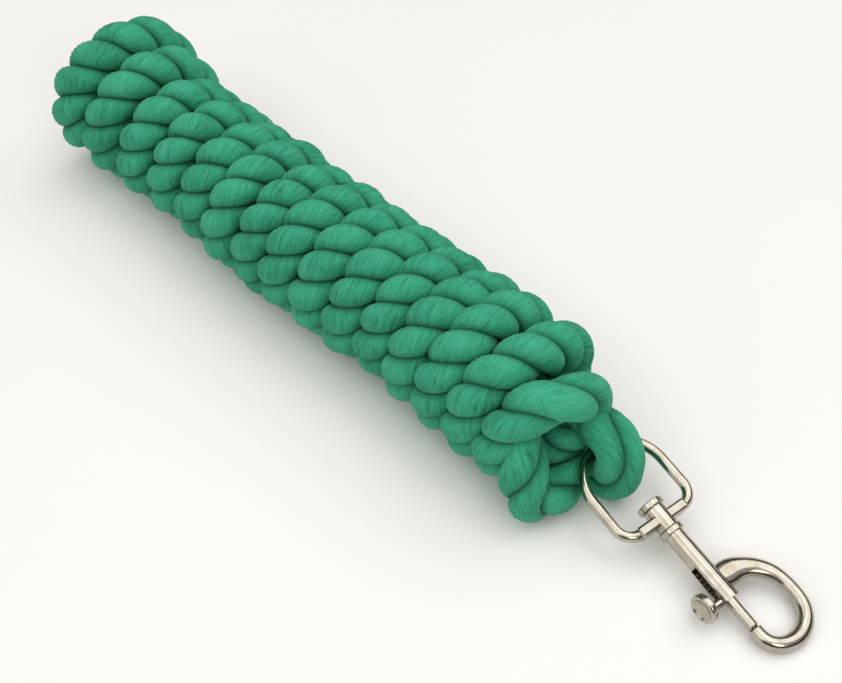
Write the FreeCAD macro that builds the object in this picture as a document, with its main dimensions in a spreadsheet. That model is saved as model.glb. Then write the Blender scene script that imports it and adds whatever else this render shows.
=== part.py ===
"""Lead rope: a soft three-strand rope wound into a hank, with a swivel-eye bolt snap.

Row frame, millimetres: +X runs along the hank towards the snap, +Z is up, and the origin
is the centre of the bounding box's bottom. The snap lies in a frame of its own: its x axis
runs from the swivel eye to the hook, its y axis points to the side that the hook bulges to,
and its origin is the centre of the eye's bar, where the rope goes round it.
"""

import FreeCAD, Part
import math
import os

SIZES = {
    # rope and hank
    "rope_diameter": 18.0,
    "hank_diameter": 67.0,
    "hank_length": 312.0,
    "hank_end_round": 14.0,
    "rest_flat_width": 20.0,
    # how the snap lies beside the hank
    "eye_gap": 7.0,
    "eye_side_offset": 7.1,
    "snap_yaw": 9.7,
    "rope_slack": 0.3,
    "leg_seat": 4.0,
    # swivel eye
    "ring_bar": 4.4,
    "ring_width": 40.0,
    "ring_reach": 34.9,
    "ring_corner": 7.0,
    "bridge_thickness": 4.6,
    "bridge_height": 7.0,
    "bridge_round": 1.4,
    "boss_diameter": 9.0,
    "boss_inner": 2.6,
    "boss_outer": 2.0,
    "cut_overrun": 1.0,
    # swivel post
    "post_diameter": 5.0,
    "post_clearance": 0.06,
    "face_gap": 0.3,
    "head_diameter": 11.0,
    "head_thickness": 2.6,
    "dimple_diameter": 4.6,
    "dimple_depth": 0.9,
    "post_seat": 6.0,
    # barrel
    "collar_diameter": 10.4,
    "collar_thickness": 2.5,
    "barrel_length": 31.0,
    "barrel_back_diameter": 8.0,
    "barrel_mouth_diameter": 8.8,
    "edge_round": 0.5,
    # bolt, spring and thumb stud
    "bolt_diameter": 4.7,
    "bolt_clearance": 0.07,
    "bolt_tail": 3.9,
    "bolt_travel": 13.0,
    "nose_diameter": 3.4,
    "nose_length": 2.2,
    "nose_entry": 0.9,
    "bore_floor": 4.8,
    "spring_outer_diameter": 4.3,
    "spring_wire": 0.5,
    "spring_turns": 8.0,
    "stem_setback": 1.2,
    "stem_diameter": 3.6,
    "spigot_diameter": 2.4,
    "slot_clearance": 0.25,
    "stud_tilt": 8.0,
    "stud_reach": 10.6,
    "stud_diameter": 11.6,
    "stud_thickness": 3.4,
    "stud_offset": 1.6,
    "stud_round": 1.3,
    "dish_depth": 1.7,
    # hook
    "throat_gap": 13.5,
    "lip_straight": 2.3,
    "lip_radius": 8.2,
    "lip_turn": 55.0,
    "nose_radius": 12.4,
    "crown_straight": 2.8,
    "root_radius": 17.7,
    "hook_thickness": 6.0,
    "tip_diameter": 5.6,
    "lip_width": 5.9,
    "nose_width": 6.5,
    "crown_width": 5.8,
    "shoulder_width": 7.6,
    "root_width": 10.4,
}

U_AXIS = FreeCAD.Vector(1, 0, 0)
V_AXIS = FreeCAD.Vector(0, 1, 0)
W_AXIS = FreeCAD.Vector(0, 0, 1)
SECTIONS_PER_ARC = 4
CYLINDER_RIMS = (2, 3)
BOX_EDGES = range(1, 13)
RUN_SHARE = 0.45
VOLUME_TOLERANCE = 0.02


def make_sheet(doc):
    """Write the driving dimensions into the document's spreadsheet."""
    sheet = doc.addObject("Spreadsheet::Sheet", "Sizes")
    for row, (alias, value) in enumerate(SIZES.items(), start=1):
        sheet.set(f"A{row}", alias)
        sheet.set(f"B{row}", str(value))
        sheet.setAlias(f"B{row}", alias)
    doc.recompute()
    return sheet


def named(text):
    """Turn a formula of alias names into an expression on the sheet."""
    words = []
    for word in text.replace("(", "( ").replace(")", " )").split():
        words.append(f"Sizes.{word}" if word in SIZES else word)
    return " ".join(words)


def bind(item, sizes, place=(), turn=None):
    """Bind an object's sizes and its place to the sheet, and turn it if asked."""
    for prop, text in sizes.items():
        item.setExpression(prop, named(text))
    if turn:
        item.Placement = FreeCAD.Placement(FreeCAD.Vector(), turn)
    for letter, text in zip("xyz", place):
        item.setExpression(f"Placement.Base.{letter}", named(text))
    return item


# Stations along the snap's axis, as formulas of the driving sizes.
BRIDGE_START = "ring_reach"
BOSS_START = "( ring_reach - boss_inner )"
BOSS_LENGTH = "( boss_inner + bridge_thickness + boss_outer )"
COLLAR_START = "( ring_reach + bridge_thickness + boss_outer + face_gap )"
BARREL_START = f"( {COLLAR_START} + collar_thickness )"
MOUTH = f"( {BARREL_START} + barrel_length )"
TIP_FACE = f"( {MOUTH} + throat_gap )"
STEM = f"( {MOUTH} - stem_setback )"
BOLT_BACK = f"( {STEM} - bolt_tail )"
BORE_BOTTOM = f"( {COLLAR_START} + post_seat + bore_floor )"
SPRING_ROOM = f"( {BOLT_BACK} - {BORE_BOTTOM} )"
RING_MEAN = "( ( ring_width - ring_bar ) / 2 )"
BRIDGE_MIDDLE = "( ring_reach + bridge_thickness / 2 )"
BRIDGE_HALF = f"( {RING_MEAN} - ring_corner )"
BORE_DIAMETER = "( bolt_diameter + 2 * bolt_clearance )"

ALONG = FreeCAD.Rotation(V_AXIS, 90)


def cylinder(doc, name, radius, height, place, turn=ALONG):
    """A cylinder along the snap's axis unless another turn is given."""
    item = doc.addObject("Part::Cylinder", name)
    return bind(item, {"Radius": radius, "Height": height}, place, turn)


def rounded(doc, name, base, radius, edges):
    """Round the numbered edges of an object by a size from the sheet."""
    item = doc.addObject("Part::Fillet", name)
    item.Base = base
    amount = SIZES[radius]
    item.Edges = [(edge, amount, amount) for edge in edges]
    return item


def fused(doc, name, items):
    """Join several objects into one solid."""
    item = doc.addObject("Part::MultiFuse", name)
    item.Shapes = items
    item.Refine = True
    return item


def cut(doc, name, base, tool):
    """Take one object away from another."""
    item = doc.addObject("Part::Cut", name)
    item.Base = base
    item.Tool = tool
    item.Refine = True
    return item


# ---------------------------------------------------------------- rope


def axis_height():
    """Height of the hank's axis: its turns are pressed flat where they rest."""
    radius = SIZES["hank_diameter"] / 2
    return math.sqrt(radius**2 - (SIZES["rest_flat_width"] / 2) ** 2)


def eye_height():
    """Height of the eye's bar, with the rope's lower leg lying on the ground."""
    return SIZES["rope_diameter"] + SIZES["rope_slack"] + SIZES["ring_bar"] / 2


def tip_face():
    """Distance from the eye's bar to the hook's tip, along the snap."""
    parts = (
        "ring_reach",
        "bridge_thickness",
        "boss_outer",
        "face_gap",
        "collar_thickness",
        "barrel_length",
        "throat_gap",
    )
    return sum(SIZES[part] for part in parts)


def snap_pitch():
    """Downward slope of the snap, in degrees, that rests its hook on the ground."""
    lever = max(point.x for point, _, _ in hook_route(tip_face()))
    drop = eye_height() - SIZES["hook_thickness"] / 2
    return math.degrees(math.asin(drop / lever))


def snap_turn():
    """Rotation of the snap: turned to the side, then tipped down to the ground."""
    yaw = FreeCAD.Rotation(W_AXIS, -SIZES["snap_yaw"])
    pitch = FreeCAD.Rotation(V_AXIS, snap_pitch())
    return yaw * pitch


def far_end_x():
    """X of the hank's far end, which puts the origin midway along the whole object."""
    turn = snap_turn()
    nose = max(turn.multVec(point).x for point, _, _ in hook_route(tip_face()))
    return -(SIZES["hank_length"] + SIZES["eye_gap"] + nose + SIZES["nose_width"] / 2) / 2


def eye_point():
    """Centre of the eye's bar in the row frame, where the rope goes round it."""
    near_end = far_end_x() + SIZES["hank_length"]
    return FreeCAD.Vector(near_end + SIZES["eye_gap"], SIZES["eye_side_offset"], eye_height())


def snap_placement():
    """Placement of every piece of the snap."""
    return FreeCAD.Placement(eye_point(), snap_turn())


def rope_hank(doc):
    """The wound turns as one closed solid, rounded at its ends and flat where it rests."""
    roll = cylinder(doc, "HankRoll", "hank_diameter / 2", "hank_length", ("0", "0", "0"))
    roll = rounded(doc, "HankRounded", roll, "hank_end_round", CYLINDER_RIMS)
    rest = doc.addObject("Part::Box", "HankRest")
    bind(rest, {"Length": "hank_length", "Width": "hank_diameter", "Height": "hank_diameter"})
    rest.Placement.Base = FreeCAD.Vector(
        0, -SIZES["hank_diameter"] / 2, -axis_height() - SIZES["hank_diameter"]
    )
    hank = cut(doc, "RopeHank", roll, rest)
    hank.Placement.Base = FreeCAD.Vector(far_end_x(), 0, axis_height())
    hank.Label = "rope_hank"
    return hank


def arc_between(before, corner, after, radius):
    """The tangent arc at a corner of a route, with the points where it meets its runs."""
    back = (before - corner).normalize()
    ahead = (after - corner).normalize()
    half = back.getAngle(ahead) / 2
    reach = radius / math.tan(half)
    middle = corner + (back + ahead).normalize() * (radius / math.sin(half) - radius)
    start = corner + back * reach
    end = corner + ahead * reach
    return start, Part.Arc(start, middle, end).toShape(), end


def rope_eye(doc):
    """The rope's uncoiled stretch: out of the hank, round the eye's bar and back under."""
    heading = FreeCAD.Rotation(W_AXIS, -SIZES["snap_yaw"]).multVec(U_AXIS)
    drop = SIZES["rope_diameter"] / 2 + SIZES["rope_slack"] + SIZES["ring_bar"] / 2
    leg = SIZES["eye_gap"] + SIZES["leg_seat"] + drop
    route = [
        eye_point() + heading * (along * drop) + W_AXIS * (up * drop) - heading * back
        for along, up, back in ((1, 1, leg), (1, 1, 0), (1, -1, 0), (1, -1, leg))
    ]
    edges = []
    at = route[0]
    for before, corner, after in zip(route, route[1:], route[2:]):
        shorter = min((corner - before).Length, (after - corner).Length)
        half_turn = (corner - before).getAngle(after - corner) / 2
        radius = RUN_SHARE * shorter / math.tan(half_turn)
        print(f"rope eye: arc of radius {radius:.1f} mm at run of {shorter:.1f} mm")
        start, arc, end = arc_between(before, corner, after, radius)
        edges += [Part.LineSegment(at, start).toShape(), arc]
        at = end
    edges.append(Part.LineSegment(at, route[-1]).toShape())
    path = Part.Wire(edges)
    section = Part.Wire(Part.Circle(route[0], heading, SIZES["rope_diameter"] / 2).toShape())
    tube = path.makePipeShell([section], True, False)
    expected = math.pi * (SIZES["rope_diameter"] / 2) ** 2 * path.Length
    print(f"rope eye: volume {tube.Volume:.0f} mm3, section times length {expected:.0f} mm3")
    if abs(tube.Volume - expected) > VOLUME_TOLERANCE * expected:
        raise ValueError("the rope eye's tube has lost its section")
    item = doc.addObject("Part::Feature", "RopeEye")
    item.Shape = tube
    item.Label = "rope_eye"
    return item


# ---------------------------------------------------------------- snap


def ring_arc(doc, name, mean_radius, sweep, start, place):
    """A stretch of round bar bent in the snap's plane."""
    item = doc.addObject("Part::Torus", name)
    turn = FreeCAD.Rotation(W_AXIS, start)
    bind(item, {"Radius1": mean_radius, "Radius2": "ring_bar / 2"}, place, turn)
    item.Angle3 = sweep
    return item


def swivel_eye(doc):
    """The eye: a bent bar closed by a bridge, whose boss the swivel post turns in."""
    side_length = f"( {BRIDGE_MIDDLE} - ring_corner - {RING_MEAN} )"
    corner_x = f"( {BRIDGE_MIDDLE} - ring_corner )"
    pieces = [ring_arc(doc, "EyeFarArc", RING_MEAN, 180, 90, (RING_MEAN, "0", "0"))]
    for name, sign, start in (("Left", "-1", 270), ("Right", "1", 0)):
        place = (RING_MEAN, f"{sign} * {RING_MEAN}", "0")
        pieces.append(cylinder(doc, f"Eye{name}Side", "ring_bar / 2", side_length, place))
        corner_place = (corner_x, f"{sign} * {BRIDGE_HALF}", "0")
        pieces.append(ring_arc(doc, f"Eye{name}Corner", "ring_corner", 90, start, corner_place))
    bridge = doc.addObject("Part::Box", "EyeBridge")
    bridge_sizes = {
        "Length": "bridge_thickness",
        "Width": f"2 * {BRIDGE_HALF} + ring_bar / 2",
        "Height": "bridge_height",
    }
    bridge_place = (BRIDGE_START, f"-1 * {BRIDGE_HALF} - ring_bar / 4", "-1 * bridge_height / 2")
    bind(bridge, bridge_sizes, bridge_place)
    pieces.append(rounded(doc, "EyeBridgeRounded", bridge, "bridge_round", BOX_EDGES))
    pieces.append(cylinder(doc, "EyeBoss", "boss_diameter / 2", BOSS_LENGTH, (BOSS_START, "0", "0")))
    bore = cylinder(
        doc,
        "EyeBore",
        "post_diameter / 2 + post_clearance",
        f"{BOSS_LENGTH} + 2 * cut_overrun",
        (f"{BOSS_START} - cut_overrun", "0", "0"),
    )
    return cut(doc, "SwivelEye", fused(doc, "EyeFused", pieces), bore)


def swivel_post(doc):
    """The headed post: it turns in the eye's boss and is fixed in the barrel's back end."""
    head_start = f"( {BOSS_START} - face_gap - head_thickness )"
    head = cylinder(doc, "PostHead", "head_diameter / 2", "head_thickness", (head_start, "0", "0"))
    head = rounded(doc, "PostHeadRounded", head, "edge_round", CYLINDER_RIMS)
    length = f"( {COLLAR_START} + post_seat ) - ( {head_start} + head_thickness / 2 )"
    shank_place = (f"{head_start} + head_thickness / 2", "0", "0")
    shank = cylinder(doc, "PostShank", "post_diameter / 2", length, shank_place)
    dimple = doc.addObject("Part::Cone", "PostDimple")
    dimple_sizes = {
        "Radius1": "dimple_diameter / 2",
        "Radius2": "dimple_diameter / 6",
        "Height": "dimple_depth",
    }
    bind(dimple, dimple_sizes, (head_start, "0", "0"), ALONG)
    return cut(doc, "SwivelPost", fused(doc, "PostFused", [head, shank]), dimple)


def hook_route(tip_x):
    """Points, tangents and distances along the hook's centre line, from tip to root.

    It is a lip, a nose arc, a short straight crown and a wide root arc, each tangent to
    the next, and it ends inside the barrel.
    """
    stretches = [
        ("line", SIZES["lip_straight"], 0),
        ("arc", SIZES["lip_radius"], SIZES["lip_turn"]),
        ("arc", SIZES["nose_radius"], 180 - SIZES["lip_turn"]),
        ("line", SIZES["crown_straight"], 0),
        ("arc", SIZES["root_radius"], 90),
    ]
    at = FreeCAD.Vector(tip_x, 0, 0)
    heading = 0.0
    travelled = 0.0
    route = [(at, heading, travelled)]
    for kind, size, turn in stretches:
        steps = 1 if kind == "line" else max(2, round(SECTIONS_PER_ARC * turn / 90))
        for _ in range(steps):
            if kind == "line":
                at = at + FreeCAD.Vector(math.cos(heading), math.sin(heading), 0) * size
                travelled += size
            else:
                step = math.radians(turn / steps)
                middle = heading + step / 2
                chord = 2 * size * math.sin(step / 2)
                at = at + FreeCAD.Vector(math.cos(middle), math.sin(middle), 0) * chord
                heading += step
                travelled += size * step
            route.append((at, heading, travelled))
    route.append((FreeCAD.Vector(at.x, 0, 0), heading, travelled + at.y))
    return route


def section_width(heading):
    """Width of the hook's bar in its own plane, by how far the bar has turned."""
    turned = math.degrees(heading)
    table = [
        (0, SIZES["tip_diameter"]),
        (SIZES["lip_turn"], SIZES["lip_width"]),
        (100, SIZES["nose_width"]),
        (180, SIZES["crown_width"]),
        (225, SIZES["shoulder_width"]),
        (270, SIZES["root_width"]),
    ]
    for (low, width), (high, wider) in zip(table, table[1:]):
        if turned <= high:
            share = (turned - low) / (high - low)
            share = share * share * (3 - 2 * share)
            return width + (wider - width) * share
    return table[-1][1]


def hook_horn(doc):
    """The hook's bent bar, lofted through oval sections along its centre line."""
    wires = []
    for point, heading, travelled in hook_route(tip_face()):
        width = section_width(heading)
        grown = min(1.0, travelled / SIZES["lip_radius"])
        thick = SIZES["tip_diameter"] + (SIZES["hook_thickness"] - SIZES["tip_diameter"]) * grown
        along = FreeCAD.Vector(math.cos(heading), math.sin(heading), 0)
        half_side = FreeCAD.Vector(-math.sin(heading), math.cos(heading), 0) * (width / 2)
        half_up = W_AXIS * (thick / 2)
        matrix = FreeCAD.Matrix(
            half_up.x, half_side.x, -along.x, point.x,
            half_up.y, half_side.y, -along.y, point.y,
            half_up.z, half_side.z, -along.z, point.z,
            0, 0, 0, 1,
        )
        unit_circle = Part.Wire(Part.makeCircle(1))
        wires.append(unit_circle.transformGeometry(matrix))
    item = doc.addObject("Part::Feature", "HookHorn")
    item.Shape = Part.makeLoft(wires, True, False)
    return item


def hook_body(doc):
    """Collar, tapered barrel and hook in one casting, bored for the post and the bolt."""
    collar_place = (COLLAR_START, "0", "0")
    collar = cylinder(doc, "Collar", "collar_diameter / 2", "collar_thickness", collar_place)
    collar = rounded(doc, "CollarRounded", collar, "edge_round", CYLINDER_RIMS)
    barrel = doc.addObject("Part::Cone", "Barrel")
    barrel_sizes = {
        "Radius1": "barrel_back_diameter / 2",
        "Radius2": "barrel_mouth_diameter / 2",
        "Height": "barrel_length + collar_thickness / 2",
    }
    bind(barrel, barrel_sizes, (f"{BARREL_START} - collar_thickness / 2", "0", "0"), ALONG)
    body = fused(doc, "HookFused", [collar, barrel, hook_horn(doc)])
    post_bore = cylinder(
        doc,
        "PostSeatBore",
        "post_diameter / 2",
        "post_seat + cut_overrun",
        (f"{COLLAR_START} - cut_overrun", "0", "0"),
    )
    bolt_bore = cylinder(
        doc,
        "BoltBore",
        f"{BORE_DIAMETER} / 2",
        f"{MOUTH} - {BORE_BOTTOM} + throat_gap / 2",
        (BORE_BOTTOM, "0", "0"),
    )
    socket = cylinder(
        doc,
        "TipSocket",
        "nose_diameter / 2 + face_gap",
        "nose_entry + face_gap + cut_overrun",
        (f"{TIP_FACE} - cut_overrun", "0", "0"),
    )
    tools = fused(doc, "HookTools", [post_bore, bolt_bore, socket, stud_slot(doc)])
    return cut(doc, "HookBody", body, tools)


def stud_slot(doc):
    """The slot that the thumb stud's stem slides in, open at the barrel's mouth."""
    slot = doc.addObject("Part::Box", "StudSlot")
    start = f"( {STEM} - bolt_travel - stem_diameter / 2 - slot_clearance )"
    slot_sizes = {
        "Length": f"{MOUTH} - {start} + cut_overrun",
        "Width": "barrel_mouth_diameter",
        "Height": "stem_diameter + 2 * slot_clearance",
    }
    bind(slot, slot_sizes)
    half = SIZES["stem_diameter"] / 2 + SIZES["slot_clearance"]
    tilt = FreeCAD.Rotation(U_AXIS, -SIZES["stud_tilt"])
    corner = FreeCAD.Vector(0, -SIZES["barrel_mouth_diameter"], -half)
    place = FreeCAD.Vector(station(doc, start), 0, 0) + tilt.multVec(corner)
    slot.Placement = FreeCAD.Placement(place, tilt)
    return slot


def station(doc, text):
    """Work out a formula of driving sizes as a number of millimetres."""
    return float(doc.getObject("Sizes").evalExpression(named(text)))


def stud_turn():
    """Turn that lays a cylinder along the thumb stud's stem, out of the barrel's side."""
    return FreeCAD.Rotation(U_AXIS, 90 - SIZES["stud_tilt"])


def bolt(doc):
    """The sliding bolt: a rod with a stepped nose and a cross hole for the stud."""
    rod_length = f"( {TIP_FACE} + nose_entry - nose_length - {BOLT_BACK} )"
    rod = cylinder(doc, "BoltRod", "bolt_diameter / 2", rod_length, (BOLT_BACK, "0", "0"))
    nose = doc.addObject("Part::Cone", "BoltNose")
    nose_sizes = {
        "Radius1": "bolt_diameter / 2",
        "Radius2": "nose_diameter / 2",
        "Height": "nose_length - nose_entry",
    }
    nose_start = f"( {TIP_FACE} + nose_entry - nose_length )"
    bind(nose, nose_sizes, (nose_start, "0", "0"), ALONG)
    pilot = cylinder(doc, "BoltPilot", "nose_diameter / 2", "nose_entry", (TIP_FACE, "0", "0"))
    body = fused(doc, "BoltFused", [rod, nose, pilot])
    hole_place = (STEM, "0", "0")
    hole = cylinder(
        doc, "BoltCrossHole", "spigot_diameter / 2", "bolt_diameter", hole_place, stud_turn()
    )
    return cut(doc, "Bolt", body, hole)


def on_stem(doc, item, distance, along=0.0):
    """Stand an object on the thumb stud's axis, at a distance from the snap's axis."""
    turn = stud_turn()
    base = FreeCAD.Vector(station(doc, STEM) + along, 0, 0) + turn.multVec(W_AXIS) * distance
    item.Placement = FreeCAD.Placement(base, turn)
    return item


def thumb_stud(doc):
    """The thumb stud: spigot, stem and a dished button set back from the stem."""
    spigot = doc.addObject("Part::Cylinder", "StudSpigot")
    bind(spigot, {"Radius": "spigot_diameter / 2", "Height": "stud_reach"})
    on_stem(doc, spigot, 0)
    rod_radius = SIZES["bolt_diameter"] / 2 + SIZES["bolt_clearance"]
    stem = doc.addObject("Part::Cylinder", "StudStem")
    bind(stem, {"Radius": "stem_diameter / 2", "Height": "stud_reach - bolt_diameter / 2"})
    on_stem(doc, stem, rod_radius)
    button = doc.addObject("Part::Cylinder", "StudButton")
    bind(button, {"Radius": "stud_diameter / 2", "Height": "stud_thickness"})
    seat = SIZES["stud_reach"] - SIZES["stud_thickness"] / 3
    on_stem(doc, button, seat, -SIZES["stud_offset"])
    disc = rounded(doc, "StudButtonRounded", button, "stud_round", CYLINDER_RIMS)
    dish = doc.addObject("Part::Sphere", "StudDish")
    dish_rim = SIZES["stud_diameter"] / 2 - SIZES["stud_round"]
    dish_radius = (dish_rim**2 + SIZES["dish_depth"] ** 2) / (2 * SIZES["dish_depth"])
    dish.Radius = dish_radius
    dish_centre = seat + SIZES["stud_thickness"] - SIZES["dish_depth"] + dish_radius
    on_stem(doc, dish, dish_centre, -SIZES["stud_offset"])
    return cut(doc, "ThumbStud", fused(doc, "StudFused", [spigot, stem, disc]), dish)


def bolt_spring(doc):
    """The compression spring between the bore's bottom and the bolt's back end."""
    wire = SIZES["spring_wire"]
    mean = (SIZES["spring_outer_diameter"] - wire) / 2
    length = station(doc, SPRING_ROOM) - wire
    helix = Part.makeHelix(length / SIZES["spring_turns"], length, mean)
    centre = FreeCAD.Vector(mean, 0, 0)
    tangent = FreeCAD.Vector(0, 2 * math.pi * mean, length / SIZES["spring_turns"])
    section = Part.Wire(Part.Circle(centre, tangent, wire / 2).toShape())
    coil = Part.Wire(helix.Edges).makePipeShell([section], True, True)
    coil.rotate(FreeCAD.Vector(), V_AXIS, 90)
    coil.translate(FreeCAD.Vector(station(doc, BORE_BOTTOM) + wire / 2, 0, 0))
    item = doc.addObject("Part::Feature", "BoltSpring")
    item.Shape = coil
    return item


SNAP_PIECES = {
    "swivel_eye": swivel_eye,
    "swivel_post": swivel_post,
    "hook_body": hook_body,
    "bolt": bolt,
    "thumb_stud": thumb_stud,
    "bolt_spring": bolt_spring,
}


def build():
    """Build the document, check every object and write one STEP file per sub-part."""
    os.makedirs("parts", exist_ok=True)
    doc = FreeCAD.newDocument("lead_rope")
    make_sheet(doc)
    nodes = [rope_hank(doc), rope_eye(doc)]
    for label, maker in SNAP_PIECES.items():
        piece = maker(doc)
        piece.Label = label
        nodes.append(piece)
    doc.recompute()
    for piece in nodes[2:]:
        piece.Placement = snap_placement().multiply(piece.Placement)
    doc.recompute()
    for item in doc.Objects:
        if "Invalid" in item.State or "Error" in item.State:
            raise ValueError(f"{item.Name} failed: {item.State}")
    for node in nodes:
        shape = node.Shape
        if shape.isNull() or not shape.isValid():
            raise ValueError(f"{node.Label} has no valid shape")
        print(f"{node.Label}: {len(shape.Solids)} solid, {shape.Volume:.0f} mm3")
    for node in nodes:
        node.Shape.exportStep(f"parts/{node.Label}.step")
    base = eye_point()
    along = snap_placement().Rotation.multVec(U_AXIS)
    print(f"eye point {base}, snap axis {along}, side {snap_placement().Rotation.multVec(V_AXIS)}")
    print(f"snap pitch {snap_pitch():.2f} deg")
    boxes = [node.Shape.optimalBoundingBox() for node in nodes]
    low = [min(getattr(box, f"{axis}Min") for box in boxes) for axis in "XYZ"]
    high = [max(getattr(box, f"{axis}Max") for box in boxes) for axis in "XYZ"]
    print(f"object's box from {low} to {high}")


build()
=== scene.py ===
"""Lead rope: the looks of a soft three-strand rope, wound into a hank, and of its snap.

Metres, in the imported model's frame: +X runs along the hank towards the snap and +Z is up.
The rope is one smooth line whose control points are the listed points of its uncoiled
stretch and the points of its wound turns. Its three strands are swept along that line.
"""

import logging
import math
from dataclasses import dataclass, field
from enum import Enum

import bmesh
import bpy
import numpy as np
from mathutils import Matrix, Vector

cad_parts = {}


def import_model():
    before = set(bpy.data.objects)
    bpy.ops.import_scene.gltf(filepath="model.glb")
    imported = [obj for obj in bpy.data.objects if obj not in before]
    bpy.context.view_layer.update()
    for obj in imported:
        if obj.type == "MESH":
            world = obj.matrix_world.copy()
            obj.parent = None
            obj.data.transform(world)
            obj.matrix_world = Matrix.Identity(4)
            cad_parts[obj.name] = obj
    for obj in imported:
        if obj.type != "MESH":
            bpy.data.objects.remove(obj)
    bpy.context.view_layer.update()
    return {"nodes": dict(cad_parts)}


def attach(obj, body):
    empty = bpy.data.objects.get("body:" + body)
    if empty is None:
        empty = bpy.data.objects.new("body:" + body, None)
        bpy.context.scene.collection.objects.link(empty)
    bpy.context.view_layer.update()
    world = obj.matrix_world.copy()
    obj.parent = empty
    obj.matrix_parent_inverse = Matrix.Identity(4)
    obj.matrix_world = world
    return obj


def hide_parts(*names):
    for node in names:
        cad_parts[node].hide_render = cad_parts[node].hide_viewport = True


LOG = logging.getLogger("lead_rope")
TURN = 2 * math.pi
MERGE_DISTANCE = 1e-6
DEGENERATE_LENGTH = 1e-7


class Slot(Enum):
    """Names for the material slots, which the rest of the script does not use."""

    ROPE = "rope"
    NICKEL = "nickel"
    BOLT_NICKEL = "bolt_nickel"
    SPRING_STEEL = "spring_steel"


@dataclass
class Graph:
    """A material's or a world's node tree, with short ways to fill it."""

    tree: bpy.types.NodeTree

    def add(self, kind: str, **settings: object) -> bpy.types.Node:
        """Add a node.

        Args:
            kind: The node's type name.
            **settings: Properties of the node, by name.

        Returns:
            The new node.
        """
        node = self.tree.nodes.new(kind)
        for name, value in settings.items():
            setattr(node, name, value)
        return node

    def join(self, source: bpy.types.NodeSocket, target: bpy.types.NodeSocket) -> None:
        """Link one socket to another."""
        self.tree.links.new(source, target)

    def noise(
        self, vector: bpy.types.NodeSocket, scale: float, detail: float
    ) -> bpy.types.Node:
        """Add a noise texture that reads a vector.

        Args:
            vector: The socket with the coordinates.
            scale: The noise's scale.
            detail: The number of finer layers.

        Returns:
            The noise node.
        """
        node = self.add("ShaderNodeTexNoise")
        node.inputs["Scale"].default_value = scale
        node.inputs["Detail"].default_value = detail
        self.join(vector, node.inputs["Vector"])
        return node

    def stretched(self, vector: bpy.types.NodeSocket, scale: tuple) -> bpy.types.NodeSocket:
        """Scale coordinates by a different amount on each axis.

        Args:
            vector: The socket with the coordinates.
            scale: The three factors.

        Returns:
            The socket with the scaled coordinates.
        """
        node = self.add("ShaderNodeMapping")
        node.inputs["Scale"].default_value = scale
        self.join(vector, node.inputs["Vector"])
        return node.outputs["Vector"]

    def ramp(self, source: bpy.types.NodeSocket, stops: tuple) -> bpy.types.Node:
        """Add a colour ramp.

        Args:
            source: The socket that drives the ramp.
            stops: Pairs of position and colour.

        Returns:
            The ramp node.
        """
        node = self.add("ShaderNodeValToRGB")
        elements = node.color_ramp.elements
        while len(elements) < len(stops):
            elements.new(0.5)
        for element, (position, colour) in zip(elements, stops):
            element.position = position
            element.color = colour
        self.join(source, node.inputs["Fac"])
        return node

    def math(
        self, operation: str, first: bpy.types.NodeSocket, second: object
    ) -> bpy.types.NodeSocket:
        """Combine two values.

        Args:
            operation: The math node's operation.
            first: The first value's socket.
            second: The second value: a socket or a number.

        Returns:
            The socket with the result.
        """
        node = self.add("ShaderNodeMath", operation=operation)
        self.join(first, node.inputs[0])
        if isinstance(second, bpy.types.NodeSocket):
            self.join(second, node.inputs[1])
        else:
            node.inputs[1].default_value = second
        return node.outputs["Value"]

    def weighted(self, sources: tuple, weights: tuple) -> bpy.types.NodeSocket:
        """Add several values together, each with its own weight.

        Args:
            sources: The values' sockets.
            weights: The factor on each value.

        Returns:
            The socket with the sum.
        """
        parts = [self.math("MULTIPLY", *pair) for pair in zip(sources, weights)]
        total = parts[0]
        for part in parts[1:]:
            total = self.math("ADD", total, part)
        return total

    def bump(
        self, height: bpy.types.NodeSocket, distance: float, strength: float
    ) -> bpy.types.NodeSocket:
        """Add a bump node.

        Args:
            height: The socket with the height.
            distance: The height of a full step, in metres.
            strength: The share of the bump that shows.

        Returns:
            The socket with the bumped normal.
        """
        node = self.add("ShaderNodeBump")
        node.inputs["Distance"].default_value = distance
        node.inputs["Strength"].default_value = strength
        self.join(height, node.inputs["Height"])
        return node.outputs["Normal"]


def new_material(name: str) -> tuple[bpy.types.Material, Graph, bpy.types.Node]:
    """Make an empty material with a Principled shader.

    Args:
        name: The material's name.

    Returns:
        The material, its graph and its Principled shader node.
    """
    material = bpy.data.materials.new(name)
    material.use_nodes = True
    graph = Graph(material.node_tree)
    shader = next(n for n in material.node_tree.nodes if n.type == "BSDF_PRINCIPLED")
    return material, graph, shader


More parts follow.
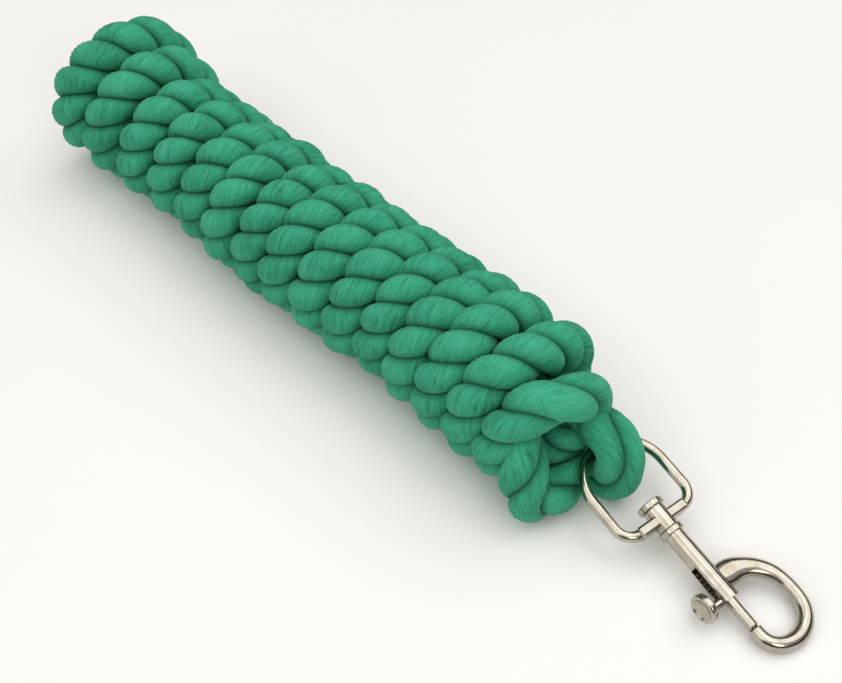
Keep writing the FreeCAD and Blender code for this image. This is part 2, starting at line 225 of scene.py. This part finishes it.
@dataclass(frozen=True)
class YarnFinish:
    """Soft spun cotton: fine yarn lines, a faint sheen, and painted shade in the crease lines
    between strands.
    """

    name: str = "soft_cotton"
    deep: tuple = (0.004, 0.085, 0.042, 1.0)
    middle: tuple = (0.036, 0.350, 0.195, 1.0)
    light: tuple = (0.085, 0.490, 0.300, 1.0)
    # Painted shade: how far the base colour is darkened towards the deep green at the crease
    # lines.
    painted_crease_shade: float = 0.85
    fibre_scale: tuple = (220.0, 2300.0, 1.0)
    yarn_scale: tuple = (70.0, 800.0, 1.0)
    fuzz_scale: float = 900.0
    patch_scale: float = 55.0
    height_weights: tuple = (0.5, 0.6, 0.9)
    tone_weights: tuple = (0.36, 0.24, 0.14, 0.26)
    tone_stops: tuple = (0.30, 0.50, 0.74)
    bump_height: float = 0.00040
    bump_strength: float = 0.8
    roughness: float = 0.82
    specular: float = 0.25
    sheen: float = 0.10
    sheen_roughness: float = 0.45
    sheen_tint: tuple = (0.55, 1.0, 0.78, 1.0)

    def build(self) -> bpy.types.Material:
        """Make the material; it reads the strands' own map and the attribute that masks the
        painted crease shade.
        """
        material, graph, shader = new_material(self.name)
        uv = graph.add("ShaderNodeUVMap", uv_map=ThreeStrands.YARN_MAP).outputs["UV"]
        fibre = graph.noise(graph.stretched(uv, self.fibre_scale), 1.0, 3.0).outputs["Fac"]
        yarn = graph.noise(graph.stretched(uv, self.yarn_scale), 1.0, 2.0).outputs["Fac"]
        coordinates = graph.add("ShaderNodeTexCoord").outputs["Object"]
        patch = graph.noise(coordinates, self.patch_scale, 2.0).outputs["Fac"]
        fuzz = graph.noise(coordinates, self.fuzz_scale, 2.0).outputs["Fac"]
        height = graph.weighted((fibre, yarn, fuzz), self.height_weights)
        tone = graph.weighted((fibre, yarn, fuzz, patch), self.tone_weights)
        stops = tuple(zip(self.tone_stops, (self.deep, self.middle, self.light)))
        colour = graph.ramp(tone, stops).outputs["Color"]
        # Painted shade: the crease mask mixes the base colour towards the deep green between
        # strands.
        crease = graph.add("ShaderNodeAttribute", attribute_name=ThreeStrands.CREASE_SHADE)
        dark = graph.math("MULTIPLY", crease.outputs["Fac"], self.painted_crease_shade)
        shade = graph.add("ShaderNodeMix", data_type="RGBA", blend_type="MIX")
        graph.join(dark, shade.inputs["Factor"])
        graph.join(colour, shade.inputs["A"])
        shade.inputs["B"].default_value = self.deep
        graph.join(shade.outputs["Result"], shader.inputs["Base Color"])
        normal = graph.bump(height, self.bump_height, self.bump_strength)
        graph.join(normal, shader.inputs["Normal"])
        shader.inputs["Roughness"].default_value = self.roughness
        shader.inputs["Specular IOR Level"].default_value = self.specular
        shader.inputs["Sheen Weight"].default_value = self.sheen
        shader.inputs["Sheen Roughness"].default_value = self.sheen_roughness
        shader.inputs["Sheen Tint"].default_value = self.sheen_tint
        return material


@dataclass(frozen=True)
class MetalFinish:
    """Plated or bare metal with a faint uneven polish."""

    name: str
    colour: tuple
    worn: tuple
    smooth: float
    rough: float
    ripple: float
    cloud_scale: float = 180.0
    grain_scale: float = 900.0
    wear_stops: tuple = (0.35, 0.72)
    ripple_strength: float = 0.5

    def build(self) -> bpy.types.Material:
        """Make the material; its patterns read Object coordinates."""
        material, graph, shader = new_material(self.name)
        coordinates = graph.add("ShaderNodeTexCoord").outputs["Object"]
        cloud = graph.noise(coordinates, self.cloud_scale, 4.0).outputs["Fac"]
        grain = graph.noise(coordinates, self.grain_scale, 2.0).outputs["Fac"]
        stops = tuple(zip(self.wear_stops, (self.colour, self.worn)))
        colour = graph.ramp(cloud, stops).outputs["Color"]
        graph.join(colour, shader.inputs["Base Color"])
        spread = graph.add("ShaderNodeMapRange")
        spread.inputs["To Min"].default_value = self.smooth
        spread.inputs["To Max"].default_value = self.rough
        graph.join(grain, spread.inputs["Value"])
        graph.join(spread.outputs["Result"], shader.inputs["Roughness"])
        normal = graph.bump(cloud, self.ripple, self.ripple_strength)
        graph.join(normal, shader.inputs["Normal"])
        shader.inputs["Metallic"].default_value = 1.0
        return material


NICKEL = MetalFinish(
    "warm_nickel", (0.49, 0.455, 0.385, 1.0), (0.36, 0.325, 0.255, 1.0), 0.10, 0.20, 0.00025
)
BOLT_NICKEL = MetalFinish(
    "bolt_nickel", (0.51, 0.475, 0.405, 1.0), (0.38, 0.345, 0.275, 1.0), 0.12, 0.24, 0.00015
)
SPRING_STEEL = MetalFinish(
    "spring_steel", (0.56, 0.55, 0.53, 1.0), (0.42, 0.40, 0.37, 1.0), 0.25, 0.40, 0.0001
)


@dataclass
class RopeRoute:
    """The rope's line, which winds a hank round its own core.

    The line starts inside the hank at the snap's end and makes a lobe there. It goes round the
    snap's eye and straight into the turns, which it winds to the far end. From there it goes
    through the core to the snap's end, folds, and goes back in. Angles are in degrees.
    """

    uncoiled: tuple = (
        (0.0600, -0.0080, 0.0335),
        (0.0790, -0.0140, 0.0360),
        (0.0955, -0.0235, 0.0350),
        (0.1010, -0.0300, 0.0108),
        (0.1060, -0.0095, 0.0095),
        (0.0975, 0.0090, 0.0090),
        (0.1197, 0.0052, 0.0090),
        (0.1197, 0.0052, 0.0320),
        (0.0975, 0.0090, 0.0320),
        (0.0990, 0.0085, 0.0450),
        (0.1000, -0.0055, 0.0550),
    )
    first_turns: tuple = (
        (476.0, 0.0935, 0.0232),
        (499.0, 0.0890, 0.0232),
        (536.0, 0.0835, 0.0234),
        (630.0, 0.0750, 0.0234),
        (720.0, 0.0765, 0.0234),
        (790.0, 0.0785, 0.0234),
        (835.0, 0.0730, 0.0234),
        (859.0, 0.0692, 0.0234),
    )
    front_angle: float = 499.0
    front_x: tuple = (
        0.0896, 0.0692, 0.0516, 0.0343, 0.0162, -0.0025, -0.0214, -0.0399, -0.0589, -0.0789,
        -0.0989, -0.1209, -0.1435, -0.1690, -0.1950,
    )
    tail_start: float = 5575.0
    tail_angle: float = 150.0
    tail_reach: float = 0.0075
    tail: tuple = (
        (-0.1800, 0.0070, 0.0305),
        (-0.1500, 0.0085, 0.0320),
        (0.0000, 0.0080, 0.0320),
        (0.0550, 0.0090, 0.0290),
        (0.0800, 0.0110, 0.0250),
        (0.0965, 0.0110, 0.0230),
        (0.0965, -0.0080, 0.0230),
        (0.0800, -0.0100, 0.0250),
        (0.0550, -0.0090, 0.0290),
        (0.0000, -0.0080, 0.0320),
        (-0.1750, -0.0085, 0.0320),
    )
    diameter: float = 0.018
    thickness: float = 0.0108
    axis_height: float = 0.032
    points_per_turn: int = 16
    radius_by_x: tuple = (
        (-0.215, 0.0338), (-0.190, 0.0350), (-0.175, 0.0350), (-0.160, 0.0345),
        (-0.140, 0.0335), (-0.120, 0.0330), (-0.090, 0.0338), (-0.060, 0.0340),
        (-0.025, 0.0334), (0.000, 0.0334), (0.030, 0.0338), (0.050, 0.0343),
        (0.080, 0.0340), (0.105, 0.0338),
    )
    side_by_x: tuple = (
        (-0.210, 0.0010), (-0.185, 0.0015), (-0.165, 0.0020), (-0.145, 0.0015),
        (-0.115, 0.0008), (-0.095, 0.0), (-0.075, -0.0010), (-0.045, -0.0010),
        (0.000, -0.0004), (0.025, 0.0004), (0.050, -0.0006), (0.075, -0.0012),
        (0.105, -0.0010),
    )
    loose_angles: tuple = ((5445.0, 0.0065), (5085.0, 0.0022))
    loose_width: float = 62.0
    wander: float = 0.0006
    wander_knots: int = 80
    end_dip: float = 0.0045
    seed: int = 11
    points_per_segment: int = 8

    def centre_of(self, x: float) -> tuple[float, float]:
        """Give the hank's middle at a place along it.

        Args:
            x: The place along the hank.

        Returns:
            The Y and Z of the middle of the turns there.
        """
        side = float(np.interp(x, *zip(*self.side_by_x)))
        return side, self.axis_height

    def place(self, angle: float) -> tuple[float, float]:
        """Give a turn's place along the hank and its radius, before any looseness.

        Args:
            angle: How far the rope has wound, in degrees.

        Returns:
            The X of the rope's line, and its distance from the hank's middle.
        """
        if angle <= self.first_turns[-1][0]:
            angles, along, radii = zip(*self.first_turns)
            x, radius = np.interp(angle, angles, along), np.interp(angle, angles, radii)
            return float(x), float(radius)
        fronts = [self.front_angle + 360.0 * k for k in range(len(self.front_x))]
        x = float(np.interp(angle, fronts, self.front_x))
        radius = float(np.interp(x, *zip(*self.radius_by_x))) - self.thickness
        return x, radius

    def turn_points(self) -> list[tuple[float, float, float]]:
        """Lay out the control points of the wound turns, a loop with many points per turn.

        Returns:
            The points, from the snap's end of the hank to its far end and into it.
        """
        chance = np.random.default_rng(self.seed)
        step = 360.0 / self.points_per_turn
        end = self.tail_start + self.tail_angle
        knots = chance.normal(0.0, 1.0, (2, self.wander_knots))
        places = np.linspace(0.0, end, knots.shape[1])
        points = []
        angle = self.first_turns[0][0]
        while angle < end:
            x, radius = self.place(angle)
            for middle, extra in self.loose_angles:
                radius += extra * math.exp(-(((angle - middle) / self.loose_width) ** 2))
            inward = max(0.0, (angle - self.tail_start) / self.tail_angle)
            inward = inward * inward * (3.0 - 2.0 * inward)
            radius += (self.tail_reach - radius) * inward
            x -= self.end_dip * math.sin(math.pi * inward)
            jitter = [float(np.interp(angle, places, row)) for row in knots]
            radius = (radius + self.wander * jitter[0]) / math.cos(math.radians(step / 2))
            x += self.wander * jitter[1]
            middle_y, middle_z = self.centre_of(x)
            turned = math.radians(angle)
            y = middle_y + radius * math.cos(turned)
            z = middle_z + radius * math.sin(turned)
            points.append((x, y, z))
            angle += step
        return points

    def centreline(self) -> tuple[np.ndarray, int, int]:
        """Read the rope's line from one smooth spline through all its control points.

        Returns:
            The points along the line, and the indices at which the wound turns begin and end.
        """
        turns = self.turn_points()
        controls = [*self.uncoiled, *turns, *self.tail]
        curve = bpy.data.curves.new("rope_line", "CURVE")
        curve.dimensions = "3D"
        spline = curve.splines.new("NURBS")
        spline.points.add(len(controls) - 1)
        for point, place in zip(spline.points, controls):
            point.co = (*place, 1.0)
        spline.order_u = 3
        spline.use_endpoint_u = True
        spline.resolution_u = self.points_per_segment
        bare = bpy.data.objects.new("rope_line", curve)
        mesh = bpy.data.meshes.new_from_object(bare)
        line = np.array([vertex.co for vertex in mesh.vertices], float)
        bpy.data.meshes.remove(mesh)
        bpy.data.objects.remove(bare)
        bpy.data.curves.remove(curve)
        begin, end = (
            int(np.linalg.norm(line - np.array(point), axis=1).argmin())
            for point in (turns[1], turns[-3])
        )
        return line, begin, end


def even(line: np.ndarray, step: float) -> tuple[np.ndarray, np.ndarray]:
    """Space a line's points evenly.

    Args:
        line: The line's points.
        step: The wanted distance between points, in metres.

    Returns:
        The new points, and how far along the line each lies.
    """
    along = np.concatenate([[0.0], np.cumsum(np.linalg.norm(np.diff(line, axis=0), axis=1))])
    at = np.linspace(0.0, along[-1], int(round(along[-1] / step)) + 1)
    return np.stack([np.interp(at, along, line[:, k]) for k in range(3)], axis=1), at


def carried_frames(line: np.ndarray) -> tuple[np.ndarray, np.ndarray]:
    """Carry a pair of cross directions along a line without twisting them.

    Args:
        line: The line's points.

    Returns:
        The two directions across the line at each point, a right-handed pair.
    """
    ahead = np.gradient(line, axis=0)
    ahead /= np.linalg.norm(ahead, axis=1)[:, None]
    first = np.zeros_like(line)
    first[0] = np.cross(ahead[0], (0.0, 0.0, 1.0))
    first[0] /= np.linalg.norm(first[0])
    for i in range(len(line) - 1):
        kept = first[i] - ahead[i + 1] * (first[i] @ ahead[i + 1])
        first[i + 1] = kept / np.linalg.norm(kept)
    return first, np.cross(ahead, first)


@dataclass
class ThreeStrands:
    """The rope itself: three plump strands, laid right-handed round the rope's line."""

    YARN_MAP = "yarn"
    # The attribute that masks the shade painted at the crease lines between strands.
    CREASE_SHADE = "crease"

    route: RopeRoute
    lay: float = 0.0385
    eye_lay: float = 0.12
    lobe_lay: float = 0.055
    eye_end: float = 0.105
    eye_length: float = 0.048
    eye_middle: tuple = (0.096, 0.004, 0.020)
    eye_facing: tuple = (0.0, -0.5, 0.87)
    swell: float = 0.06
    widen: float = 0.58
    loose_swell: float = 0.09
    lays_per_turn: float = 4.0
    crown_angles: tuple = (
        31.0, 31.0, 34.0, 23.0, 23.0, 20.0, 17.0, 15.0, 14.0, 12.0, 19.0, 15.0, 26.0, 26.0,
        17.0,
    )
    ring_step: float = 0.0010
    crown: float = 0.0106
    eye_crown: float = 0.0097
    core_crown: float = 0.0085
    start_run: float = 0.02
    before_turns: float = 0.02
    into_turns: float = 0.05
    loose_from: float = 0.30
    loose_full: float = 0.13
    core_run: float = 0.08
    crease_drop: float = 0.55
    half_sector: float = 64.0
    inner: tuple = ((50.0, 0.36), (28.0, 0.19), (0.0, 0.11), (-28.0, 0.19), (-50.0, 0.36))
    outer_points: int = 13
    outer_share: float = 0.97
    crown_bunching: float = 0.93
    slant: float = 0.30
    uneven: float = 0.040
    uneven_spacing: float = 0.012
    rest_gap: float = 0.0002
    press_height: float = 0.0022
    tip_rings: int = 8
    length: float = 2.85

    def section(self) -> tuple[np.ndarray, np.ndarray, np.ndarray]:
        """Outline one strand's cross section, a wedge with a round crown.

        Returns:
            The angle from the crown, the share of the rope's radius, and the share of painted
            crease shade.
        """
        spread = np.linspace(-1.0, 1.0, self.outer_points)
        quarter = math.pi / 2
        share = np.sin(spread * quarter * self.crown_bunching)
        share /= math.sin(quarter * self.crown_bunching)
        angle = np.radians(self.outer_share * self.half_sector) * share
        fall = 1.0 - np.sqrt(1.0 - (self.outer_share * share) ** 2)
        reach = 1.0 - self.crease_drop * fall
        inner_angle = np.radians([a for a, _ in self.inner])
        inner_reach = np.array([r for _, r in self.inner])
        # Painted shade mask: 0 on the crown, rising to 1 at the crease lines and on the inner
        # faces.
        crease = np.concatenate([np.abs(share) ** 4, np.ones(len(self.inner))])
        angles = np.concatenate([angle, inner_angle, angle[:1]])
        reaches = np.concatenate([reach, inner_reach, reach[:1]])
        return angles, reaches, np.concatenate([crease, crease[:1]])

    def phases(
        self, line: np.ndarray, at: np.ndarray, begin: float, end: float
    ) -> tuple[np.ndarray, np.ndarray]:
        """Work out how far the strands have turned round the line at each point.

        Args:
            line: The line's points.
            at: How far along the line each lies.
            begin: How far along the line the wound turns begin.
            end: How far along the line they end.

        Returns:
            The angle of the first strand's crown and the angle that points away from the
            hank's middle, both in the carried frame and in radians.
        """
        first, second = carried_frames(line)
        top = int(np.flatnonzero((line[:, 0] >= self.eye_end) & (at < begin))[-1])
        on_hank = np.clip((at - at[top]) / (begin - at[top]), 0.0, 1.0)[:, None]
        middle = line.copy()
        middle[:, 1:] = [self.route.centre_of(x) for x in line[:, 0]]
        out = line - middle * on_hank - np.array(self.eye_middle) * (1.0 - on_hank)
        outward = np.unwrap(np.arctan2((out * second).sum(1), (out * first).sum(1)))
        wound = np.flatnonzero((at >= begin) & (at <= end))
        turned = np.degrees(np.unwrap(np.arctan2(out[wound, 2], out[wound, 1])))
        turned += 360.0 * round((self.route.first_turns[0][0] - turned[0]) / 360.0)
        fronts = self.route.front_angle + 360.0 * np.arange(len(self.crown_angles))
        offset = np.interp(turned, fronts, self.crown_angles)
        on_turns = outward[wound] + np.radians(self.lays_per_turn * (turned - offset))
        facing = np.array(self.eye_facing)
        phase = math.atan2(facing @ second[top], facing @ first[top])
        lobe = int(np.flatnonzero(at < at[top] - self.eye_length)[-1])
        phase = phase + TURN * (at - at[top]) / self.eye_lay
        phase[:lobe] = phase[lobe] + TURN * (at[:lobe] - at[lobe]) / self.lobe_lay
        missing = (on_turns[0] - phase[wound[0]]) % (TURN / 3) + TURN / 3
        phase += missing * np.clip((at - at[top]) / (begin - at[top]), 0.0, 1.0)
        phase[wound] = phase[wound[0]] + on_turns - on_turns[0]
        after = at > end
        phase[after] = phase[wound[-1]] + TURN * (at[after] - at[wound[-1]]) / self.lay
        return phase, outward

    def thickness(self, at: np.ndarray, begin: float, end: float) -> np.ndarray:
        """Give the distance from the rope's line to its crowns along its length."""
        places = (
            0.0,
            self.start_run,
            begin - self.before_turns,
            begin + self.into_turns,
            end - self.loose_from,
            end - self.loose_full,
            end,
            end + self.core_run,
        )
        loose = self.crown * (1.0 + self.loose_swell)
        reaches = (
            self.core_crown, self.eye_crown, self.eye_crown, self.crown, self.crown, loose,
            loose, self.core_crown,
        )
        return np.interp(at, places, reaches)

    def ripple(self, at: np.ndarray, strand: int) -> np.ndarray:
        """Vary a strand's thickness along its length.

        Args:
            at: How far along the line each ring lies.
            strand: The strand's number.

        Returns:
            The factor on the strand's thickness at each ring.
        """
        chance = np.random.default_rng(self.route.seed + 7 * strand)
        knots = chance.normal(0.0, 1.0, int(at[-1] / self.uneven_spacing))
        return 1.0 + self.uneven * np.interp(at, np.linspace(0.0, at[-1], len(knots)), knots)

    def pressed(self, points: np.ndarray) -> np.ndarray:
        """Press the lowest points flat, as where the rope rests on something."""
        low = points[:, 2] < self.press_height
        depth = (points[low, 2] - self.press_height) / self.press_height
        points[low, 2] = self.rest_gap + (self.press_height - self.rest_gap) * np.exp(depth)
        return points

    def strand(
        self,
        number: int,
        line: np.ndarray,
        at: np.ndarray,
        turning: tuple[np.ndarray, np.ndarray],
        thick: np.ndarray,
    ) -> bpy.types.Object:
        """Sweep one strand along the rope's line.

        Args:
            number: The strand's number, from 0.
            line: The line's points.
            at: How far along the line each lies.
            turning: The first strand's angle and the outward angle at each point.
            thick: The distance from the line to the crowns at each point.

        Returns:
            The strand's object.
        """
        angles, reaches, crease_shade_share = self.section()
        rings, around = len(line), len(angles)
        mesh = bpy.data.meshes.new(f"rope_strand_{number + 1}")
        shape = bmesh.new()
        shape.loops.layers.uv.new(self.YARN_MAP)
        bmesh.ops.create_grid(
            shape, x_segments=rings - 1, y_segments=around - 1, size=0.5, calc_uvs=True
        )
        shape.to_mesh(mesh)
        shape.free()
        places = np.zeros(len(mesh.vertices) * 3, np.float32)
        mesh.vertices.foreach_get("co", places)
        places = places.reshape(-1, 3)
        ring = np.rint((places[:, 0] + 0.5) * (rings - 1)).astype(int)
        side = np.rint((places[:, 1] + 0.5) * (around - 1)).astype(int)
        first, second = carried_frames(line)
        phase, outward = turning
        turned = phase + number * TURN / 3
        full = self.crown - self.core_crown
        press = np.clip((thick - self.core_crown) / full, 0.0, 1.0)[ring]
        theta = turned[ring] + angles[side]
        off_crown = theta - outward[ring]
        across_angle = theta + self.widen * press * np.sin(off_crown)
        taper = np.minimum(1.0, np.arange(rings) / self.tip_rings)
        taper = np.sqrt(1.0 - (1.0 - np.minimum(taper, taper[::-1])) ** 2)
        reach = reaches[side] * (thick * self.ripple(at, number) * taper)[ring]
        reach *= 1.0 + self.swell * press * np.cos(2.0 * off_crown)
        across = np.cos(across_angle)[:, None] * first[ring]
        across += np.sin(across_angle)[:, None] * second[ring]
        points = self.pressed(line[ring] + reach[:, None] * across)
        mesh.vertices.foreach_set("co", points.astype(np.float32).ravel())
        # Store the painted crease shade mask on each point.
        attribute = mesh.attributes.new(self.CREASE_SHADE, "FLOAT", "POINT")
        attribute.data.foreach_set("value", crease_shade_share[side].astype(np.float32))
        corners = np.zeros(len(mesh.loops), np.int32)
        mesh.loops.foreach_get("vertex_index", corners)
        yarn_v = (theta - TURN * number) * self.crown + at[ring] * self.slant
        uv = np.stack([at[ring][corners], yarn_v[corners]], axis=1)
        mesh.uv_layers[self.YARN_MAP].data.foreach_set("uv", uv.astype(np.float32).ravel())
        self.close(mesh)
        strand = bpy.data.objects.new(mesh.name, mesh)
        bpy.context.scene.collection.objects.link(strand)
        return strand

    @staticmethod
    def close(mesh: bpy.types.Mesh) -> None:
        """Join a swept sheet's long seam and its two tips, and turn its faces outwards."""
        shape = bmesh.new()
        shape.from_mesh(mesh)
        bmesh.ops.remove_doubles(shape, verts=shape.verts, dist=MERGE_DISTANCE)
        bmesh.ops.dissolve_degenerate(shape, edges=shape.edges, dist=DEGENERATE_LENGTH)
        bmesh.ops.recalc_face_normals(shape, faces=shape.faces)
        for face in shape.faces:
            face.smooth = True
        shape.to_mesh(mesh)
        shape.free()

    def build(self, finish: bpy.types.Material) -> list[bpy.types.Object]:
        """Args:
            finish: The strands' material.

        Returns:
            The three strands.
        """
        rough_line, *marks = self.route.centreline()
        begin, end = (
            float(np.linalg.norm(np.diff(rough_line[: mark + 1], axis=0), axis=1).sum())
            for mark in marks
        )
        line, at = even(rough_line, self.ring_step)
        turning = self.phases(line, at, begin, end)
        thick = self.thickness(at, begin, end)
        strands = [self.strand(number, line, at, turning, thick) for number in range(3)]
        for strand in strands:
            strand.data.materials.append(finish)
            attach(strand, "rope")
        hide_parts("rope_hank", "rope_eye")
        LOG.info("rope: %.3f m in %d rings per strand", at[-1], len(line))
        return strands


@dataclass
class Snap:
    """The swivel-eye snap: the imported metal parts, dressed in their finishes."""

    nodes: dict
    finishes: dict = field(
        default_factory=lambda: {
            "swivel_eye": NICKEL,
            "hook_body": NICKEL,
            "swivel_post": NICKEL,
            "bolt": BOLT_NICKEL,
            "thumb_stud": BOLT_NICKEL,
            "bolt_spring": SPRING_STEEL,
        }
    )

    def build(self) -> None:
        """Give each metal part its finish."""
        made = {}
        for name, finish in self.finishes.items():
            if finish.name not in made:
                made[finish.name] = finish.build()
            part = self.nodes[name]
            if not part.material_slots:
                part.data.materials.append(made[finish.name])
            for slot in part.material_slots:
                slot.material = made[finish.name]
            LOG.info("snap: %s in %s", name, finish.name)


@dataclass
class Studio:
    """Pale floor, soft lights and the camera."""

    camera_place: tuple = (0.24106, -0.23161, 0.39945)
    azimuth: float = 44.0
    elevation: float = 50.0
    lens: float = 49.85
    floor_size: float = 8.0
    floor_colour: tuple = (0.86, 0.845, 0.825, 1.0)
    floor_shade: float = 0.985
    floor_roughness: float = 0.55
    floor_specular: float = 0.3
    mottle_scale: float = 3.0
    sensor_width: float = 36.0
    sky_strength: float = 0.9
    sky_stops: tuple = (
        (0.00, (0.85, 0.84, 0.82, 1.0)),
        (0.10, (0.80, 0.79, 0.77, 1.0)),
        (0.18, (0.06, 0.05, 0.04, 1.0)),
        (0.50, (0.10, 0.09, 0.08, 1.0)),
        (0.68, (0.60, 0.60, 0.60, 1.0)),
    )
    lamps: tuple = (
        ("key", (0.20, 0.85, 1.35), 1.5, 10.0, (1.0, 0.985, 0.965)),
        ("overhead", (-0.10, -0.40, 1.70), 2.2, 16.0, (1.0, 0.99, 0.98)),
        ("snap_side", (1.1, -0.3, 0.9), 0.5, 2.5, (1.0, 0.98, 0.95)),
        ("front", (-0.3, -1.5, 0.9), 1.6, 7.0, (1.0, 0.99, 0.98)),
    )

    def floor(self) -> bpy.types.Object:
        """Make the floor.

        Returns:
            The floor's object.
        """
        mesh = bpy.data.meshes.new("floor")
        shape = bmesh.new()
        bmesh.ops.create_grid(shape, x_segments=8, y_segments=8, size=self.floor_size / 2)
        shape.to_mesh(mesh)
        shape.free()
        floor = bpy.data.objects.new("floor", mesh)
        bpy.context.scene.collection.objects.link(floor)
        material, graph, shader = new_material("pale_floor")
        coordinates = graph.add("ShaderNodeTexCoord").outputs["Object"]
        mottle = graph.noise(coordinates, self.mottle_scale, 2.0).outputs["Fac"]
        darker = tuple(self.floor_shade * c for c in self.floor_colour[:3]) + (1.0,)
        stops = ((0.3, darker), (0.7, self.floor_colour))
        colour = graph.ramp(mottle, stops).outputs["Color"]
        graph.join(colour, shader.inputs["Base Color"])
        shader.inputs["Roughness"].default_value = self.floor_roughness
        shader.inputs["Specular IOR Level"].default_value = self.floor_specular
        mesh.materials.append(material)
        return floor

    def light(
        self, name: str, place: tuple, size: float, power: float, colour: tuple
    ) -> None:
        """Make one soft square light that shines at the hank.

        Args:
            name: The light's name.
            place: Where it hangs.
            size: The length of its side, in metres.
            power: Its power, in watts.
            colour: Its colour.
        """
        lamp = bpy.data.lights.new(name, "AREA")
        lamp.size = size
        lamp.energy = power
        lamp.color = colour
        holder = bpy.data.objects.new(name, lamp)
        bpy.context.scene.collection.objects.link(holder)
        holder.location = place
        holder.rotation_mode = "QUATERNION"
        holder.rotation_quaternion = Vector(place).to_track_quat("Z", "Y")

    def sky(self) -> None:
        """Make the room's light: pale above and at floor level, darker in between."""
        world = bpy.data.worlds.new("studio")
        world.use_nodes = True
        bpy.context.scene.world = world
        graph = Graph(world.node_tree)
        background = next(n for n in world.node_tree.nodes if n.type == "BACKGROUND")
        direction = graph.add("ShaderNodeTexCoord").outputs["Generated"]
        split = graph.add("ShaderNodeSeparateXYZ")
        graph.join(direction, split.inputs["Vector"])
        ramp = graph.ramp(split.outputs["Z"], self.sky_stops)
        graph.join(ramp.outputs["Color"], background.inputs["Color"])
        background.inputs["Strength"].default_value = self.sky_strength

    def camera(self) -> None:
        """Place the camera."""
        lens = bpy.data.cameras.new("camera")
        lens.lens = self.lens
        lens.sensor_width = self.sensor_width
        camera = bpy.data.objects.new("camera", lens)
        bpy.context.scene.collection.objects.link(camera)
        turn, rise = math.radians(self.azimuth), math.radians(self.elevation)
        back = Vector(
            (math.sin(turn) * math.cos(rise), -math.cos(turn) * math.cos(rise), math.sin(rise))
        )
        camera.location = self.camera_place
        camera.rotation_mode = "QUATERNION"
        camera.rotation_quaternion = back.to_track_quat("Z", "Y")
        bpy.context.scene.camera = camera

    def build(self) -> None:
        """Set up the floor, the lights and the camera."""
        self.floor()
        for lamp in self.lamps:
            self.light(*lamp)
        self.sky()
        self.camera()
        bpy.context.scene.view_settings.view_transform = "Standard"


def corners(box: tuple) -> list[list[float]]:
    """Turn a pair of corners into plain lists of numbers."""
    return [list(map(float, corner)) for corner in box]


def main() -> None:
    """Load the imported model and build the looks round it."""
    logging.basicConfig(level=logging.INFO)
    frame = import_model()
    ThreeStrands(RopeRoute()).build(YarnFinish().build())
    Snap(frame["nodes"]).build()
    Studio().build()


if __name__ == "__main__":
    main()
